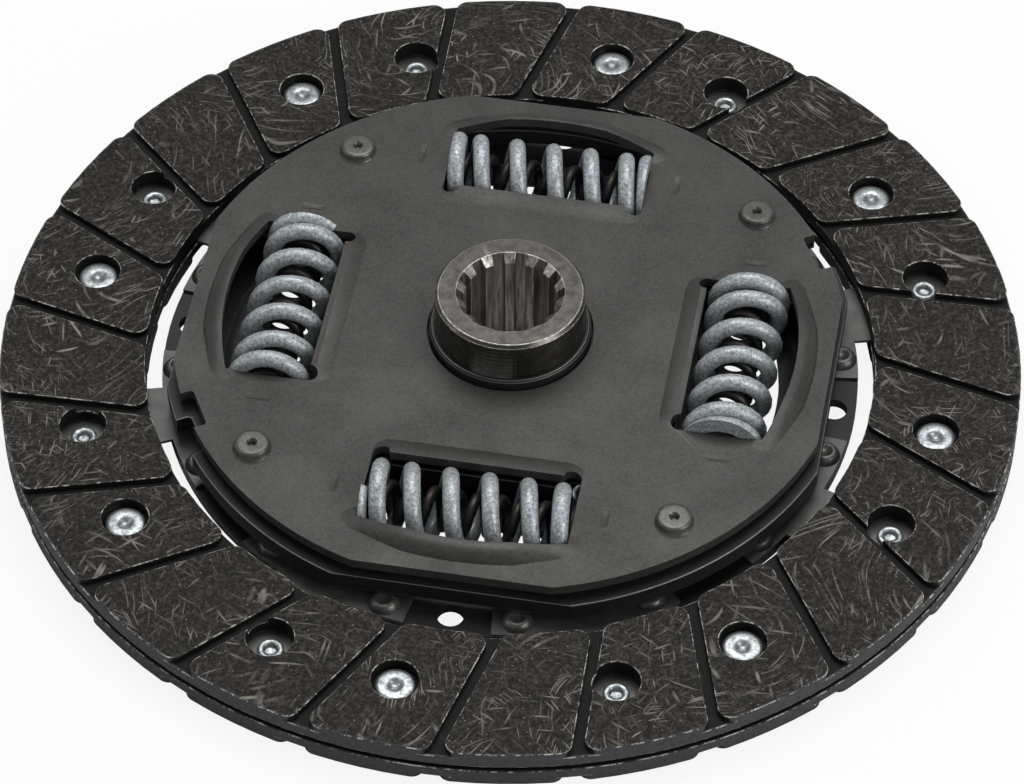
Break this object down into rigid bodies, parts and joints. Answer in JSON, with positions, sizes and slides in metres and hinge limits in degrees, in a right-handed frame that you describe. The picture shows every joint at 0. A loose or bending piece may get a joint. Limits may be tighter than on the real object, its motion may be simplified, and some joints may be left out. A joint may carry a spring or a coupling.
{
  "type": "clutch disc",
  "caption": "Dry clutch disc: grooved friction facings on riveted spring segments, two pressed plates with coil-spring damper windows, and a splined hub that twists against the springs.",
  "frame": {"origin": "on the hub's axis, half-way between the two friction facings", "axes": "+Z along the hub's spline towards the gearbox; +X through the middle of a spring window"},
  "size_m": [0.19, 0.19, 0.0245],
  "materials": {
    "friction_lining": "resin-bonded fibre composite, ground matt, with pale fibre flecks",
    "phosphated_sheet": "pressed steel sheet, dark phosphated",
    "flange_sheet": "blanked steel plate, dark phosphated",
    "segment_spring_steel": "thin hardened spring steel, bare",
    "zinc_plated_rivet": "zinc plated steel",
    "phosphated_rivet": "upset steel, phosphated",
    "coil_spring_steel": "shot-peened spring wire, pale blue-grey",
    "inner_spring_steel": "spring wire, dark and oiled",
    "turned_steel": "turned and broached steel",
    "sintered_bush": "oiled sintered steel",
    "friction_ring": "organic friction ring, matt"
  },
  "bodies": {
    "driven_plates": {"facing_gearbox_side": "friction_lining", "facing_flywheel_side": "friction_lining", "cushion_segment_1": "segment_spring_steel", "cushion_segment_2": "segment_spring_steel", "cushion_segment_3": "segment_spring_steel", "cushion_segment_4": "segment_spring_steel", "cushion_segment_5": "segment_spring_steel", "cushion_segment_6": "segment_spring_steel", "cushion_segment_7": "segment_spring_steel", "cushion_segment_8": "segment_spring_steel", "drive_plate": "phosphated_sheet", "cover_plate": "phosphated_sheet", "facing_rivets_gearbox_side": "zinc_plated_rivet", "facing_rivets_flywheel_side": "zinc_plated_rivet", "segment_rivets": "phosphated_rivet", "stop_pin_1": "phosphated_rivet", "stop_pin_2": "phosphated_rivet", "stop_pin_3": "phosphated_rivet", "stop_pin_4": "phosphated_rivet", "centring_bush": "sintered_bush", "friction_ring_gearbox_side": "friction_ring", "friction_ring_flywheel_side": "friction_ring", "pressure_ring": "flange_sheet", "friction_spring": "segment_spring_steel"},
    "damper_springs": {"damper_spring_1": "coil_spring_steel", "damper_spring_2": "coil_spring_steel", "damper_spring_3": "coil_spring_steel", "damper_spring_4": "coil_spring_steel", "inner_spring_1": "inner_spring_steel", "inner_spring_2": "inner_spring_steel", "inner_spring_3": "inner_spring_steel", "inner_spring_4": "inner_spring_steel"},
    "splined_hub": {"hub": "turned_steel", "hub_flange": "flange_sheet"}
  },
  "joints": [
    {"name": "hub_twist", "type": "hinge", "parent": "driven_plates", "child": "splined_hub", "pos_m": [0, 0, 0], "axis": [0, 0, 1], "range_deg": [-10.9, 5.1], "stiffness_Nm_per_rad": 20, "deforming": ["damper_spring_1", "damper_spring_2", "damper_spring_3", "damper_spring_4", "inner_spring_1", "inner_spring_2", "inner_spring_3", "inner_spring_4"]},
    {"name": "spring_travel", "type": "hinge", "parent": "driven_plates", "child": "damper_springs", "pos_m": [0, 0, 0], "axis": [0, 0, 1], "range_deg": [-5.45, 2.55]}
  ],
  "couplings": [
    {"joint": "spring_travel", "follows": "hub_twist", "ratio": 0.5}
  ]
}
